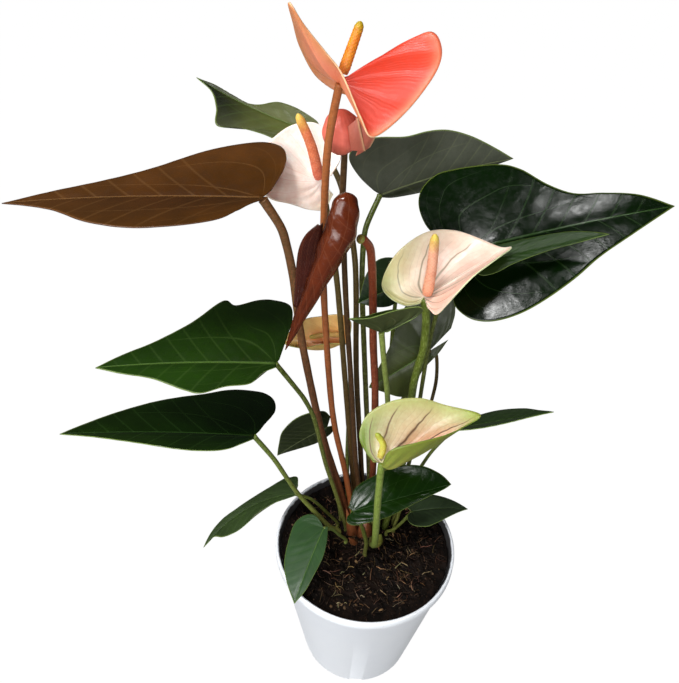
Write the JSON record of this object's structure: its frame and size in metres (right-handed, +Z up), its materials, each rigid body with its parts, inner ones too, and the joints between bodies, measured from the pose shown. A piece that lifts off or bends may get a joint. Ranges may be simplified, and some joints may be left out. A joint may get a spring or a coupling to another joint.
{
  "type": "potted anthurium",
  "caption": "Potted anthurium: heart-shaped green and bronze leaves and coral, pink and cream spathes with upright spikes, on thin stalks from a tapered white plastic pot.",
  "frame": {"origin": "centre of the pot's flat base", "axes": "+Z up from the base; +X to the side with the largest leaf; +Y away from the side that the nearest leaf hangs over"},
  "size_m": [0.327, 0.1644, 0.4291],
  "materials": {
    "pot_plastic": "white, satin gloss, moulded",
    "soil": "damp coir and bark, rough",
    "leaf_green": "dark green, waxy gloss with fine veins",
    "leaf_bronze": "red-brown young leaf, glossy",
    "stalk_green": "green, smooth",
    "stalk_dark": "dark brown-green, smooth",
    "stalk_red": "red-brown, smooth",
    "spathe_coral": "coral, glossy, veined",
    "spathe_blush": "pale pink, pleated, satin",
    "spathe_cream": "cream flushed with pink, green veins, satin",
    "spathe_olive": "ageing olive and orange, satin",
    "spadix_orange": "orange with a yellow-green tip, beaded",
    "spadix_peach": "peach with a yellow tip, beaded",
    "spadix_yellow": "yellow-green, beaded"
  },
  "bodies": {
    "root": {"pot": "pot_plastic", "soil": "soil", "crown": "stalk_red", "leaf_bronze": "leaf_bronze", "leaf_furled": "leaf_bronze", "leaf_back_left": "leaf_green", "leaf_back_right": "leaf_green", "leaf_large_right": "leaf_green", "leaf_narrow_right": "leaf_green", "leaf_middle_left": "leaf_green", "leaf_low_left": "leaf_green", "leaf_small_left": "leaf_green", "leaf_front": "leaf_green", "leaf_low_front": "leaf_green", "leaf_low_right": "leaf_green", "leaf_thin_right": "leaf_green", "leaf_hanging": "leaf_green", "leaf_folded": "leaf_green", "leaf_inner": "leaf_green", "leaf_low_back": "leaf_green", "stalk_bronze": "stalk_red", "stalk_furled": "stalk_red", "stalk_back_left": "stalk_dark", "stalk_back_right": "stalk_green", "stalk_large_right": "stalk_green", "stalk_narrow_right": "stalk_green", "stalk_middle_left": "stalk_green", "stalk_low_left": "stalk_green", "stalk_small_left": "stalk_green", "stalk_front": "stalk_green", "stalk_low_front": "stalk_green", "stalk_low_right": "stalk_green", "stalk_thin_right": "stalk_green", "stalk_hanging": "stalk_dark", "stalk_folded": "stalk_green", "stalk_inner": "stalk_green", "stalk_low_back": "stalk_green", "spathe_coral": "spathe_coral", "spathe_bud": "spathe_coral", "spathe_blush": "spathe_blush", "spathe_cream": "spathe_cream", "spathe_lime": "spathe_cream", "spathe_olive": "spathe_olive", "spadix_coral": "spadix_orange", "spadix_blush": "spadix_peach", "spadix_cream": "spadix_peach", "spadix_lime": "spadix_yellow", "spadix_olive": "spadix_yellow", "flower_stalk_coral": "stalk_dark", "flower_stalk_bud": "stalk_dark", "flower_stalk_blush": "stalk_dark", "flower_stalk_cream": "stalk_green", "flower_stalk_lime": "stalk_green", "flower_stalk_olive": "stalk_green"}
  },
  "joints": []
}
